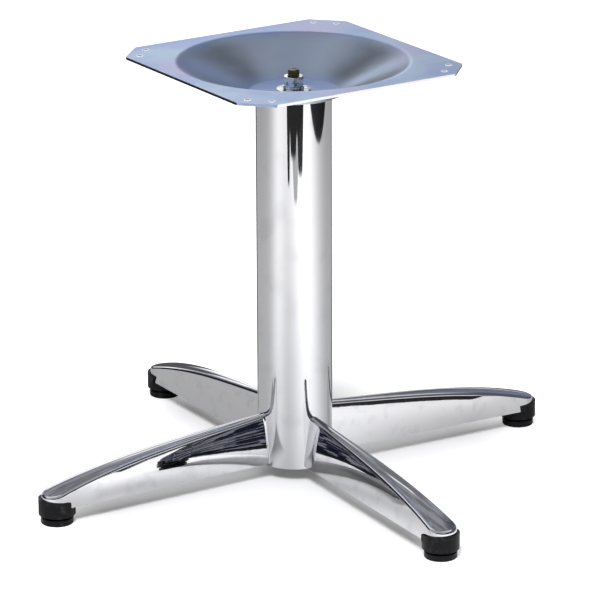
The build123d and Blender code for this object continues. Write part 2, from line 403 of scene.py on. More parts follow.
@dataclass(frozen=True)
class ZincPlateFinish(Finish):
    """Blue passivated zinc on rolled sheet: satin, lavender with pink and pale tints.

    Painted light lies on it as well: painted shade and painted sheen on the dish's slope by
    direction round the dish, painted shade on the cut edge's side towards -X and in the bores, and
    a painted highlight on the cut edge's side towards -Y and on the hole lips. The cut edge is
    where the surface lies within skin of the plate's outline, and sharp is half the blur of edges,
    lips and bores. Wall_top and wall_foot are the radii over which the dish's slope fades out, and
    each pink spot has a place and a radius.
    """

    name: str = "zinc_plate"
    blue: Colour = (0.48, 0.61, 0.95)
    pink: Colour = (0.67, 0.65, 0.92)
    pale: Colour = (0.62, 0.77, 0.99)
    grey: Colour = (0.50, 0.56, 0.60)
    # Painted shade and painted sheen that the dish's slope takes by direction round the dish, in place
    # of reflections.
    shade: Colour = (0.20, 0.23, 0.28)
    painted_sheen: Colour = (0.66, 0.78, 1.0)
    # Painted shade for the cut edge towards -X and inside the bores, and a painted highlight for the cut
    # edge towards -Y and on the hole lips.
    painted_dark: Colour = (0.02, 0.02, 0.025)
    painted_glint: Colour = (0.95, 0.96, 0.98)
    # Width of the painted glint round each hole, and how far the painted highlights turn from metal to
    # matt white.
    burr_width: float = 0.001
    glint_matt: float = 0.7
    skin: float = 0.0003
    sharp: float = 0.0001
    roughness: float = 0.27
    clouds: Patches = Patches(13.0, 0.40, 0.66, 4.0)
    smear_scale: float = 26.0
    smear_grain: tuple = (1.0, 1.5, 1.0)
    smear_turn: float = 16.0
    grain_scale: float = 700.0
    rolled_grain: tuple = (6.0, 600.0, 6.0)
    grain_height: float = 0.000012
    grain_rough: float = 0.08
    wall_grey: float = 0.75
    wall_clean: float = 0.7
    wall_fray: float = 0.012
    wall_top: tuple = (0.106, 0.124)
    wall_foot: tuple = (0.040, 0.066)
    spot_fray: float = 0.02
    spot_core: float = 0.4
    spot_rim: float = 1.3
    spot_share: float = 0.7
    streak_share: float = 0.5
    streak_range: tuple = (0.56, 0.74)
    pink_spots: tuple = (
        (-0.105, 0.03, 0.05),
        (0.09, 0.10, 0.045),
        (-0.02, -0.118, 0.035),
        (0.118, -0.03, 0.04),
    )
    # Where round the dish the painted shade and the painted sheen lie, in degrees, with their widths and
    # strengths.
    painted_shade_lobes: tuple = (
        Lobe(105.0, 20.0, 0.62),
        Lobe(0.0, 18.0, 0.72),
        Lobe(-58.0, 18.0, 0.62),
        Lobe(-120.0, 30.0, 0.3),
    )
    painted_sheen_lobes: tuple = (
        Lobe(144.0, 22.0, 1.0),
        Lobe(55.0, 30.0, 0.85),
        Lobe(-27.0, 14.0, 0.85),
        Lobe(-90.0, 14.0, 0.4),
    )

    def dish_wall(self, graph: Graph, radius: Sock, smear: Sock) -> Sock:
        """1 on the dish's slope, with a frayed upper edge."""
        beyond = graph.ramp_between(radius + smear * self.wall_fray, *self.wall_top)
        return (1.0 - beyond) * graph.ramp_between(radius, *self.wall_foot)

    def tint_patches(self, graph: Graph, x: Sock, y: Sock, smear: Sock) -> Sock:
        """Share of pink: the spots, and streaks all over.

        Args:
            graph: the material's graph.
            x: place along the plate.
            y: place across it.
            smear: noise that frays the spots.

        Returns:
            The share, 0 to 1.
        """
        spots = 0.0
        for spot_x, spot_y, size in self.pink_spots:
            gap = graph.length(x - spot_x, y - spot_y)
            frayed = gap + smear * self.spot_fray
            outside = graph.ramp_between(frayed, size * self.spot_core, size * self.spot_rim)
            spots = spots + (1.0 - outside)
        streaks = graph.ramp_between(smear, *self.streak_range) * self.streak_share
        return graph.math("MINIMUM", spots * self.spot_share + streaks, 1.0)

    def from_hole(self, graph: Graph, x: Sock, y: Sock) -> Sock:
        """Distance to the middle of the nearest screw hole, one sum for all eight.

        Args:
            graph: the material's graph.
            x: place along the plate.
            y: place across it.

        Returns:
            The distance, in metres.
        """
        x_side, y_side = graph.math("ABSOLUTE", x), graph.math("ABSOLUTE", y)
        far = graph.math("MAXIMUM", x_side, y_side) - SCREW_FAR * MM
        near = graph.math("MINIMUM", x_side, y_side) - SCREW_NEAR * MM
        return graph.length(far, near)

    def fill(self, graph: Graph, shader: bpy.types.Node) -> None:
        """Feeds the shader.

        Args:
            graph: the material's graph.
            shader: its Principled shader.
        """
        place = graph.place()
        x, y, _ = graph.axes(place)
        smear = graph.noise(graph.stretched(place, self.smear_grain), self.smear_scale, 4.0)
        wall = self.dish_wall(graph, graph.length(x, y), smear)
        base = graph.blend(self.clouds.mask(graph, place), self.blue, self.pale)
        base = graph.blend(wall * self.wall_grey, base, self.grey)
        # Painted shade and painted sheen on the dish's slope, in lobes by direction round the dish,
        # stand for the room's reflections.
        turn = graph.heading(x, y) + (smear - 0.5) * self.smear_turn
        for painted_light_tone, lobes in ((self.shade, self.painted_shade_lobes), (self.painted_sheen, self.painted_sheen_lobes)):
            share = sum(lobe.level(graph, turn) for lobe in lobes)
            base = graph.blend(share * wall, base, painted_light_tone)
        tint_patches = self.tint_patches(graph, x, y, smear)
        colour = graph.blend(tint_patches * (1.0 - wall * self.wall_clean), base, self.pink)
        # The cut edge is painted by side, as the light falls on it: painted shade on the side towards
        # -X, a painted highlight on the side towards -Y.
        edge = PLATE_SIDE / 2 * MM - self.skin
        painted_dark_side = graph.ramp_between(x * -1.0, edge - self.sharp, edge + self.sharp)
        painted_bright_side = graph.ramp_between(y * -1.0, edge - self.sharp, edge + self.sharp)
        colour = graph.blend(painted_dark_side, colour, self.painted_dark)
        colour = graph.blend(painted_bright_side, colour, self.painted_glint)
        # Painted glint on each hole's lip, and painted shade inside its bore.
        from_hole = self.from_hole(graph, x, y)
        bore_r = SCREW_R * MM
        lip_r = bore_r + self.burr_width
        lip = 1.0 - graph.ramp_between(from_hole, lip_r - self.sharp, lip_r + self.sharp)
        bore = 1.0 - graph.ramp_between(from_hole, bore_r - self.sharp, bore_r + self.sharp)
        colour = graph.blend(lip, colour, self.painted_glint)
        graph.feed(shader.inputs["Base Color"], graph.blend(bore, colour, self.painted_dark))
        # Where the painted highlights lie, the metal turns matt white, so that they read bright.
        bright = graph.math("MAXIMUM", painted_bright_side, lip)
        graph.feed(shader.inputs["Metallic"], 1.0 - bright * self.glint_matt)
        rolled = graph.noise(graph.stretched(place, self.rolled_grain), 1.0)
        texture = graph.noise(place, self.grain_scale, 3.0) + rolled
        graph.feed(shader.inputs["Roughness"], texture * self.grain_rough + self.roughness)
        graph.feed(shader.inputs["Normal"], graph.bump(texture * 0.5, self.grain_height))


@dataclass(frozen=True)
class HardwareFinish(Finish):
    """Zinc plated turned and rolled steel, a little dull, with small dark patches of painted reflection.
    """

    name: str = "zinc_hardware"
    colour: Colour = (0.96, 0.965, 0.98)
    dark: Colour = (0.10, 0.10, 0.105)
    roughness: float = 0.10
    # Painted reflection: small dark patches stand for the dark reflections on facets and threads.
    painted_reflection: float = 0.7
    tint_patches: Patches = Patches(260.0, 0.50, 0.62, 3.0)
    dark_patch_rough: float = 0.15
    grain_scale: float = 1500.0
    grain_height: float = 0.00001
    grain_rough: float = 0.1

    def fill(self, graph: Graph, shader: bpy.types.Node) -> None:
        """Feeds the shader.

        Args:
            graph: the material's graph.
            shader: its Principled shader.
        """
        place = graph.place()
        # Painted reflection: the colour turns dark in small patches, as the facets' dark reflections
        # would show.
        painted_reflection = self.tint_patches.mask(graph, place) * self.painted_reflection
        grain = graph.noise(place, self.grain_scale)
        graph.feed(shader.inputs["Base Color"], graph.blend(painted_reflection, self.colour, self.dark))
        graph.feed(shader.inputs["Metallic"], 1.0)
        rough = painted_reflection * self.dark_patch_rough + grain * self.grain_rough + self.roughness
        graph.feed(shader.inputs["Roughness"], rough)
        graph.feed(shader.inputs["Normal"], graph.bump(grain, self.grain_height))


@dataclass(frozen=True)
class PlasticFinish(Finish):
    """Moulded black plastic with a fine spark texture."""

    name: str = "black_plastic"
    colour: Colour = (0.006, 0.006, 0.007)
    worn: Colour = (0.022, 0.022, 0.024)
    roughness: float = 0.30
    gloss: float = 0.14
    scuffs: Patches = Patches(160.0, 0.52, 0.75, 5.0)
    scuff_rough: float = 0.15
    spark_scale: float = 2600.0
    spark_height: float = 0.00003
    spark_rough: float = 0.12

    def fill(self, graph: Graph, shader: bpy.types.Node) -> None:
        """Feeds the shader.

        Args:
            graph: the material's graph.
            shader: its Principled shader.
        """
        place = graph.place()
        scuffs = self.scuffs.mask(graph, place)
        spark = graph.noise(place, self.spark_scale)
        graph.feed(shader.inputs["Base Color"], graph.blend(scuffs, self.colour, self.worn))
        graph.feed(shader.inputs["Specular IOR Level"], self.gloss)
        rough = scuffs * self.scuff_rough + spark * self.spark_rough + self.roughness
        graph.feed(shader.inputs["Roughness"], rough)
        graph.feed(shader.inputs["Normal"], graph.bump(spark, self.spark_height))


def calm_selection() -> None:
    """Leaves edit mode and deselects every object."""
    if bpy.context.object and bpy.context.object.mode != "OBJECT":
        bpy.ops.object.mode_set(mode="OBJECT")
    bpy.ops.object.select_all(action="DESELECT")


def activate(piece: bpy.types.Object) -> None:
    """Makes piece the only selected and the active object."""
    calm_selection()
    piece.select_set(True)
    bpy.context.view_layer.objects.active = piece


def start_piece(name: str, primitive: Callable[[], object]) -> bpy.types.Object:
    """Adds a primitive and names it.

    Args:
        name: the piece's name.
        primitive: a call that adds the primitive.

    Returns:
        The new object, alone selected.
    """
    calm_selection()
    primitive()
    piece = bpy.context.object
    piece.name = piece.data.name = name
    return piece


def settle(piece: bpy.types.Object) -> None:
    """Moves a piece's place, turn and scale into its mesh."""
    activate(piece)
    bpy.ops.object.transform_apply(location=True, rotation=True, scale=True)


def add_modifier(piece: bpy.types.Object, kind: str, **settings: object) -> None:
    """Adds a modifier and applies it.

    Args:
        piece: the object.
        kind: the modifier's type.
        settings: its attributes.
    """
    activate(piece)
    modifier = piece.modifiers.new(kind.title(), kind)
    for key, value in settings.items():
        setattr(modifier, key, value)
    bpy.ops.object.modifier_apply(modifier=modifier.name)


def round_edges(piece: bpy.types.Object, edge: float, segments: int, angle: float) -> None:
    """Rounds a piece's sharp edges.

    Args:
        piece: the object.
        edge: width of the rounding, in millimetres.
        segments: faces across the rounding.
        angle: edges sharper than this are rounded, in degrees.
    """
    add_modifier(
        piece,
        "BEVEL",
        width=edge * MM,
        segments=segments,
        limit_method="ANGLE",
        angle_limit=radians(angle),
    )


def shade(piece: bpy.types.Object, angle: float) -> None:
    """Shades a piece smooth, with edges sharper than angle degrees kept."""
    activate(piece)
    bpy.ops.object.shade_smooth_by_angle(angle=radians(angle))


def dress(
    piece: bpy.types.Object,
    material: bpy.types.Material,
    body: str,
    nodes: Iterable[str],
) -> None:
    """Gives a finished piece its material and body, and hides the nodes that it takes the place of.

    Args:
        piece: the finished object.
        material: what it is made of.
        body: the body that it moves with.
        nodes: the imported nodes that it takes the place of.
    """
    piece.data.materials.clear()
    piece.data.materials.append(material)
    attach(piece, body)
    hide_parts(*nodes)
    log.info("%s: %d faces on %s", piece.name, len(piece.data.polygons), body)


def spun(name: str, profile: Profile, steps: int) -> bpy.types.Object:
    """Spins an open profile round the Z axis.

    Args:
        name: the piece's name.
        profile: radius and height of its points, in millimetres.
        steps: how many stretches go round.

    Returns:
        The turned piece, with its doubles merged.
    """
    count = len(profile)
    piece = start_piece(name, lambda: bpy.ops.mesh.primitive_circle_add(vertices=count, radius=MM))
    for vertex, (radius, height) in zip(piece.data.vertices, profile):
        vertex.co = Vector((radius, 0.0, height)) * MM
    for edge in piece.data.edges:
        edge.select = set(edge.vertices) == {0, count - 1}
    for vertex in piece.data.vertices:
        vertex.select = False
    bpy.context.tool_settings.mesh_select_mode = (False, True, False)
    bpy.ops.object.mode_set(mode="EDIT")
    bpy.ops.mesh.delete(type="EDGE")
    bpy.ops.mesh.select_all(action="SELECT")
    bpy.ops.mesh.spin(steps=steps, angle=2 * pi, center=(0, 0, 0), axis=(0, 0, 1))
    bpy.ops.object.mode_set(mode="OBJECT")
    mend_mesh(piece, 0.01)
    return piece


def arc(centre: tuple[float, float], radius: float, start: float, end: float, steps: int) -> Profile:
    """Points of an arc.

    Args:
        centre: its centre.
        radius: its radius.
        start: first direction, in degrees.
        end: last direction.
        steps: how many stretches.

    Returns:
        The points, first and last included.
    """
    turns = [radians(start + (end - start) * i / steps) for i in range(steps + 1)]
    return [(centre[0] + radius * cos(t), centre[1] + radius * sin(t)) for t in turns]


def join_into(piece: bpy.types.Object, others: Iterable[bpy.types.Object]) -> None:
    """Joins other pieces into one.

    Args:
        piece: the piece that takes them in.
        others: the pieces that end in it.
    """
    activate(piece)
    for other in others:
        other.select_set(True)
    bpy.ops.object.join()


def mend_mesh(piece: bpy.types.Object, gap: float) -> None:
    """Merges a mesh's doubles and turns its faces outwards.

    Args:
        piece: the object.
        gap: points closer than this are one, in millimetres.
    """
    activate(piece)
    bpy.ops.object.mode_set(mode="EDIT")
    bpy.ops.mesh.select_all(action="SELECT")
    bpy.ops.mesh.remove_doubles(threshold=gap * MM)
    bpy.ops.mesh.normals_make_consistent(inside=False)
    bpy.ops.object.mode_set(mode="OBJECT")


def softened(node: str, edge: float) -> bpy.types.Object:
    """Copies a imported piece, merges its faces, and rounds its sharp edges a little.

    Args:
        node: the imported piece.
        edge: width of the rounding, in millimetres.

    Returns:
        The copy.
    """
    source = frame["nodes"][node]
    piece = start_piece(
        f"{node}_moulded", lambda: bpy.ops.mesh.primitive_plane_add(size=MM, location=(0, 0, 0))
    )
    plane = piece.data
    piece.data = source.data.copy()
    bpy.data.meshes.remove(plane)
    piece.data.transform(source.matrix_world)
    piece.data.name = piece.name
    activate(piece)
    bpy.ops.object.mode_set(mode="EDIT")
    bpy.ops.mesh.select_all(action="SELECT")
    bpy.ops.mesh.remove_doubles(threshold=0.002 * MM)
    bpy.ops.mesh.dissolve_limited(angle_limit=radians(0.5))
    bpy.ops.object.mode_set(mode="OBJECT")
    round_edges(piece, edge, 2, 32.0)
    shade(piece, 35.0)
    add_modifier(piece, "WEIGHTED_NORMAL", keep_sharp=True)
    return piece


@dataclass
class TopPlate:
    """The pressed mounting plate: flat with cut corners, round a conical dish."""

    side: float = PLATE_SIDE
    sheet: float = 2.5
    corner: float = 28.0
    corner_round: float = 5.0
    corner_steps: int = 5
    rim_r: float = 116.0
    floor_r: float = 45.0
    depth: float = 31.0
    rim_bend: float = 14.0
    floor_bend: float = 9.0
    bore_r: float = 6.6
    flat_r: float = 124.5
    screw_r: float = SCREW_R
    screw_near: float = SCREW_NEAR
    screw_far: float = SCREW_FAR
    screw_sides: int = 24
    burr: float = 0.55
    burr_spread: float = 0.44
    burr_sink: float = 0.1
    burr_rise: float = 0.8
    burr_tilt: float = 0.06
    burr_turn: float = 75.0
    edge: float = 0.3
    same: float = 0.001
    sides: int = 224

    def outline(self) -> Profile:
        """Plan of the plate, with its cut corners rounded.

        Returns:
            The corners' points, once round.
        """
        half = self.side / 2
        inner = half - self.corner
        back = self.corner_round / cos(radians(22.5))
        points = []
        for quarter in range(4):
            turn = 90.0 * quarter
            for number, (x, y) in enumerate(((half, inner), (inner, half))):
                bisector = radians(22.5 + 45.0 * number)
                centre = Vector((x - back * cos(bisector), y - back * sin(bisector)))
                centre.rotate(Matrix.Rotation(radians(turn), 2))
                start = turn + 45.0 * number
                points += arc(tuple(centre), self.corner_round, start, start + 45.0, self.corner_steps)
        return points

    def section(self) -> Profile:
        """Upper face from the bore out to the flat, over the dish's two bends.

        Returns:
            Radius and height of the points, with the flat at height 0.
        """
        slope = atan(self.depth / (self.rim_r - self.floor_r))
        lean = slope * 180 / pi
        low_r = self.floor_r - self.floor_bend * tan(slope / 2)
        high_r = self.rim_r + self.rim_bend * tan(slope / 2)
        low = arc((low_r, self.floor_bend - self.depth), self.floor_bend, -90.0, lean - 90.0, 8)
        high = arc((high_r, -self.rim_bend), self.rim_bend, 90.0 + lean, 90.0, 12)
        foot, head = Vector(low[-1]), Vector(high[0])
        wall = [tuple(foot.lerp(head, share)) for share in (0.1, 0.3, 0.5, 0.7, 0.9)]
        floor = [(self.bore_r, -self.depth), (low_r / 2, -self.depth)]
        return floor + low + wall + high + [(self.flat_r, 0.0)]

    def ring(self, name: str, points: Profile, height: float) -> bpy.types.Object:
        """Lays a closed loop of edges through points in plan.

        Args:
            name: the piece's name.
            points: the points, in millimetres.
            height: where the loop lies, in metres.

        Returns:
            The loop.
        """
        count = len(points)
        loop = start_piece(name, lambda: bpy.ops.mesh.primitive_circle_add(vertices=count, radius=MM))
        for vertex, (x, y) in zip(loop.data.vertices, points):
            vertex.co = Vector((x, y, 0.0)) * MM + Vector((0, 0, height))
        return loop

    def holes(self) -> Profile:
        """Centres of the screw holes."""
        near, far = self.screw_near, self.screw_far
        return [(a * x, b * y) for a, b in ((far, near), (near, far)) for x in (-1, 1) for y in (-1, 1)]

    def lay_flat(self, plate: bpy.types.Object, top: float) -> None:
        """Fills the flat between the dish, the outline and the screw holes.

        Args:
            plate: the dish, which takes in the flat.
            top: height of the flat, in metres.
        """
        loops = [self.ring("plate_outline", self.outline(), top)]
        last = 360.0 - 360.0 / self.screw_sides
        for number, centre in enumerate(self.holes()):
            circle = arc(centre, self.screw_r, 0.0, last, self.screw_sides - 1)
            loops.append(self.ring(f"screw_hole_{number}", circle, top))
        join_into(plate, loops)
        used = {}
        for face in plate.data.polygons:
            for key in face.edge_keys:
                used[key] = used.get(key, 0) + 1
        on_flat = [abs(v.co.z - top) < self.same * MM for v in plate.data.vertices]
        for face in plate.data.polygons:
            face.select = False
        for edge in plate.data.edges:
            a, b = edge.vertices
            edge.select = on_flat[a] and on_flat[b] and used.get(edge.key, 0) < 2
        activate(plate)
        bpy.context.tool_settings.mesh_select_mode = (False, True, False)
        bpy.ops.object.mode_set(mode="EDIT")
        bpy.ops.mesh.fill(use_beauty=True)
        bpy.ops.mesh.select_all(action="SELECT")
        bpy.ops.mesh.normals_make_consistent(inside=False)
        bpy.ops.object.mode_set(mode="OBJECT")
        if sum(face.normal.z * face.area for face in plate.data.polygons) < 0:
            plate.data.flip_normals()

    def build(self, material: bpy.types.Material) -> None:
        """Models the plate as one sheet with thickness, then the burrs of its pierced holes.

        Args:
            material: what the plate is made of.
        """
        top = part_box("top_plate")[1].z
        plate = spun("top_plate_pressed", self.section(), self.sides)
        for vertex in plate.data.vertices:
            vertex.co.z += top
        self.lay_flat(plate, top)
        add_modifier(plate, "SOLIDIFY", thickness=self.sheet * MM, offset=-1.0)
        round_edges(plate, self.edge, 2, 60.0)
        burrs = [self.raised_burr(number, x, y, top) for number, (x, y) in enumerate(self.holes())]
        join_into(plate, burrs)
        shade(plate, 35.0)
        add_modifier(plate, "WEIGHTED_NORMAL", keep_sharp=True)
        dress(plate, material, "base", ["top_plate"])

    def raised_burr(self, number: int, x: float, y: float, top: float) -> bpy.types.Object:
        """Models the lip that the punch left round a hole, higher on one side.

        Args:
            number: the hole's number, which turns the higher side.
            x: the hole's place, in millimetres.
            y: its place across.
            top: height of the flat, in metres.

        Returns:
            The lip.
        """
        piece = start_piece(
            f"burr_{number}",
            lambda: bpy.ops.mesh.primitive_torus_add(
                major_segments=28,
                minor_segments=8,
                major_radius=(self.screw_r + self.burr_spread) * MM,
                minor_radius=self.burr * MM,
                location=(x * MM, y * MM, top - self.burr_sink * MM),
            ),
        )
        settle(piece)
        lean = radians(self.burr_turn * number)
        for vertex in piece.data.vertices:
            side = (vertex.co.x / MM - x) * cos(lean) + (vertex.co.y / MM - y) * sin(lean)
            vertex.co.z = top + (vertex.co.z - top) * (self.burr_rise + self.burr_tilt * side)
        return piece


@dataclass(frozen=True)
class Thread:
    """A rolled thread: sizes over its crests, and how finely it is meshed."""

    radius: float
    pitch: float
    depth: float
    chamfer: float
    sides: int
    per_turn: int
    flank: float = 1.25

    def rod(self, name: str, threads: Profile, ends: tuple[float, float]) -> bpy.types.Object:
        """Models a rod with helical threads.

        Args:
            name: the piece's name.
            threads: lower and upper height of each thread, in millimetres.
            ends: heights of the rod's ends.

        Returns:
            The rod on the Z axis.
        """
        low, high = ends
        heights = [low, low]
        for start, end in threads:
            count = int((end - start) / self.pitch * self.per_turn)
            heights += [start + (end - start) * i / count for i in range(count + 1)]
        heights += [high, high]
        rows, sides = len(heights), self.sides
        rod = start_piece(
            name,
            lambda: bpy.ops.mesh.primitive_grid_add(
                x_subdivisions=sides, y_subdivisions=rows - 1, size=1.0
            ),
        )
        for index, vertex in enumerate(rod.data.vertices):
            row, column = divmod(index, sides + 1)
            height = heights[row]
            share = (height / self.pitch - column / sides) % 1.0
            inside = any(start < height < end for start, end in threads)
            groove = 1 - min(1.0, abs(2 * share - 1) * self.flank)
            size = self.radius - (self.depth * groove if inside else 0.0)
            size = min(size, self.radius - self.chamfer + min(height - low, high - height))
            if row in (0, rows - 1):
                size = 0.0
            turn = 2 * pi * column / sides
            vertex.co = Vector((size * cos(turn), size * sin(turn), height)) * MM
        mend_mesh(rod, 0.002)
        shade(rod, 30.0)
        return rod


@dataclass
class TieRod:
    """The rod that clamps the plate: plain shank with a rolled thread at each end.

    Upper_thread and lower_thread are the threads' lengths.
    """

    upper_thread: float = 26.0
    lower_thread: float = 20.0
    thread: Thread = Thread(6.0, 1.75, 0.95, 1.0, 48, 10)

    def build(self, material: bpy.types.Material) -> None:
        """Models the rod between the ends of its node.

        Args:
            material: what the rod is made of.
        """
        low, high = (corner.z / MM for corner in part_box("tie_rod"))
        threads = [(low, low + self.lower_thread), (high - self.upper_thread, high)]
        rod = self.thread.rod("tie_rod_threaded", threads, (low, high))
        dress(rod, material, "base", ["tie_rod"])


@dataclass
class GlideStud:
    """A levelling glide's steel stud: ball end, neck, hexagon collar and threaded shank."""

    corner: Corner
    turn: float = LEG_TURN
    ball_r: float = 3.6
    neck_r: float = 2.4
    collar_low: float = 7.6
    collar_height: float = 5.0
    collar_flats: float = 13.0
    collar_edge: float = 0.35
    overlap: float = 0.5
    shank_overlap: float = 1.5
    thread_gap: float = 0.6
    sides: int = 32
    thread: Thread = Thread(4.0, 1.25, 0.65, 0.8, 32, 8)

    def profile(self) -> Profile:
        """Half outline of ball and neck, from the ball's lowest point.

        Returns:
            Radius and height of the points.
        """
        steps, last = 16, pi - asin(self.neck_r / self.ball_r)
        ball = []
        for step in range(steps + 1):
            angle = last * step / steps
            ball.append((self.ball_r * sin(angle), self.ball_r * (1 - cos(angle))))
        neck_top = self.collar_low + self.overlap
        return ball + [(self.neck_r, neck_top), (0.0, neck_top)]

    def collar(self) -> bpy.types.Object:
        """Models the hexagon that a spanner turns, with its edges broken.

        Returns:
            The hexagon over the ball's lowest point.
        """
        across = self.collar_flats / 2 / cos(pi / 6)
        piece = start_piece(
            "collar",
            lambda: bpy.ops.mesh.primitive_cylinder_add(
                vertices=6, radius=across * MM, depth=self.collar_height * MM
            ),
        )
        for vertex in piece.data.vertices:
            vertex.co.z += (self.collar_low + self.collar_height / 2) * MM
        add_modifier(piece, "BEVEL", width=self.collar_edge * MM, segments=2)
        return piece

    def build(self, material: bpy.types.Material) -> None:
        """Models the stud in place of its node.

        Args:
            material: what the stud is made of.
        """
        node = f"glide_stud_{self.corner.tag}"
        low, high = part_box(node)
        length = (high.z - low.z) / MM
        collar_top = self.collar_low + self.collar_height
        shank = self.thread.rod(
            "shank",
            [(collar_top + self.thread_gap, length)],
            (collar_top - self.shank_overlap, length),
        )
        piece = spun(f"{node}_threaded", self.profile(), self.sides)
        join_into(piece, [self.collar(), shank])
        turned = Matrix.Rotation(radians(self.turn + self.corner.value), 3, "Z")
        middle = (low + high) / 2
        for vertex in piece.data.vertices:
            vertex.co = turned @ vertex.co + Vector((middle.x, middle.y, low.z))
        shade(piece, 30.0)
        dress(piece, material, f"stud_{self.corner.tag}", [node])


@dataclass
class ColumnTube:
    """The round chromed tube."""

    radius: float = COLUMN_R
    wall: float = 1.5
    edge: float = 0.35
    sides: int = 256

    def build(self, material: bpy.types.Material) -> None:
        """Models the tube between the ends of its node.

        Args:
            material: what the tube is made of.
        """
        low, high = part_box("column_tube")
        tube = start_piece(
            "column_tube_chromed",
            lambda: bpy.ops.mesh.primitive_cylinder_add(
                vertices=self.sides,
                radius=self.radius * MM,
                depth=high.z - low.z,
                end_fill_type="NOTHING",
                location=(0, 0, (low.z + high.z) / 2),
            ),
        )
        settle(tube)
        add_modifier(tube, "SOLIDIFY", thickness=self.wall * MM, offset=-1.0, use_even_offset=True)
        round_edges(tube, self.edge, 3, 60.0)
        shade(tube, 32.0)
        add_modifier(tube, "WEIGHTED_NORMAL", keep_sharp=True)
        dress(tube, material, "base", ["column_tube"])


@dataclass
class Leg:
    """A pressed channel leg: drafted walls, arched top, rounded tip, open underneath."""

    corner: Corner
    turn: float = LEG_TURN
    sheet: float = 2.0
    edge_height: float = 18.5
    draft: float = 8.0
    column_r: float = COLUMN_R
    reach: float = 274.5
    root_half: float = 11.3
    tip_r: float = 16.9
    root_top: float = 51.4
    fall: float = 26.015
    swell: float = 16.022
    drop: float = 24.879
    ridge: float = 3.6
    crown: float = 0.10
    wall_bow: float = 2.0
    bow_end: float = 0.9
    bow_fade: float = 7.0
    root_sink: float = 0.4
    side_stations: int = 110
    tip_stations: int = 72
    wall_rows: int = 14
    ridge_rows: int = 12
    top_rows: int = 8
    spread_row: float = 1.13
    corner_rounds: int = 12
    trim_rounds: int = 40

    def top(self, reach: float) -> float:
        """Height of the arched top line at a distance from the column's axis."""
        share = (reach - self.column_r) / (self.reach - self.column_r)
        arch = self.root_top - self.fall * share + self.swell * share**2 - self.drop * share**3
        return self.edge_height + arch

    def roof(self, point: Vector) -> float:
        """Height of the slightly crowned top face.

        Args:
            point: a point in plan, in the leg's own frame.

        Returns:
            The height in millimetres.
        """
        across = min(abs(point.y), self.tip_r)
        lean = tan(radians(self.draft))
        reach = min(point.x, self.reach)
        edge_half = self.tip_r + (reach - self.reach) * tan(self.spread)
        half = max(edge_half - (self.top(reach) - self.edge_height) * lean, self.ridge)
        return self.top(point.x) - self.crown * across**2 / half

    @property
    def spread(self) -> float:
        """Angle in plan by which a side wall leaves the leg's axis."""
        return asin((self.tip_r - self.root_half) / (self.reach - self.column_r))

    def outline(self, along: float) -> tuple[Vector, Vector]:
        """Point of the lower edge and its outward direction.

        Args:
            along: 0 to 1 runs out along the side wall from the axis, 1 to 2 round half the tip.

        Returns:
            The point and the direction, in plan, on the side where y is positive.
        """
        tangent = Vector((cos(self.spread), sin(self.spread)))
        normal = Vector((-sin(self.spread), cos(self.spread)))
        centre = Vector((self.reach, 0.0))
        tip = centre + normal * self.tip_r
        if along <= 1.0:
            return tip - tangent * (1.0 - along) * tip.x / tangent.x, normal
        turn = (along - 1.0) * (pi / 2 + self.spread)
        outward = Vector((
            normal.x * cos(turn) + tangent.x * sin(turn),
            normal.y * cos(turn) + tangent.y * sin(turn),
        ))
        if along >= 2.0:
            outward = Vector((1.0, 0.0))
        return centre + outward * self.tip_r, outward

    def section(self, along: float, row: int) -> Vector:
        """A point of the outer skin.

        Args:
            along: place along the outline, as outline() counts it.
            row: 0 at the lower edge, up over the ridge and in to the middle.

        Returns:
            The point in the leg's own frame, in millimetres.
        """
        base, outward = self.outline(along)
        lean = tan(radians(self.draft))
        rise = self.root_top
        for _ in range(self.corner_rounds):
            rise = self.roof(base - outward * rise * lean) - self.edge_height
        corner = (rise * lean, self.edge_height + rise)
        bow = self.wall_bow * max(0.0, min(1.0, (self.bow_end - along) * self.bow_fade))
        lift = radians(self.draft) + bow / rise
        wall = (sin(lift), cos(lift))
        step = self.ridge / 2
        grade = (self.roof(base - outward * (corner[0] + step)) - corner[1]) / step
        size = hypot(1.0, grade)
        roof = (1.0 / size, grade / size)
        turn = acos(max(-1.0, min(1.0, wall[0] * roof[0] + wall[1] * roof[1])))
        back = self.ridge * tan(turn / 2)
        start = (corner[0] - wall[0] * back, corner[1] - wall[1] * back)
        end = (corner[0] + roof[0] * back, corner[1] + roof[1] * back)
        if row <= self.wall_rows:
            share = self.spaced(row / self.wall_rows)
            inset = start[0] * share - bow * share * (1 - share)
            height = self.edge_height + (start[1] - self.edge_height) * share
        elif row <= self.wall_rows + self.ridge_rows:
            angle = turn * (row - self.wall_rows) / self.ridge_rows
            across = (wall[1], -wall[0])
            inset = start[0] + self.ridge * (wall[0] * sin(angle) + across[0] * (1 - cos(angle)))
            height = start[1] + self.ridge * (wall[1] * sin(angle) + across[1] * (1 - cos(angle)))
        else:
            share = 1 - self.spaced(1 - (row - self.wall_rows - self.ridge_rows) / self.top_rows)
            middle = base.y / outward.y if along <= 1.0 else self.tip_r
            inset = end[0] + (middle - end[0]) * share
            height = self.roof(base - outward * inset)
        return Vector((base.x - outward.x * inset, base.y - outward.y * inset, height))

    def spaced(self, share: float) -> float:
        """Even steps with a close one before the end, which keeps a flat face's shading flat."""
        return min(1.0, share * self.spread_row) if share < 1.0 else 1.0

    def root(self, row: int) -> float:
        """Finds where a row meets the column.

        Args:
            row: the row, as section() counts it.

        Returns:
            The place along the outline.
        """
        low, high = 0.0, 0.5
        for _ in range(self.trim_rounds):
            middle = (low + high) / 2
            point = self.section(middle, row)
            if hypot(point.x, point.y) < self.column_r - self.root_sink:
                low = middle
            else:
                high = middle
        return high

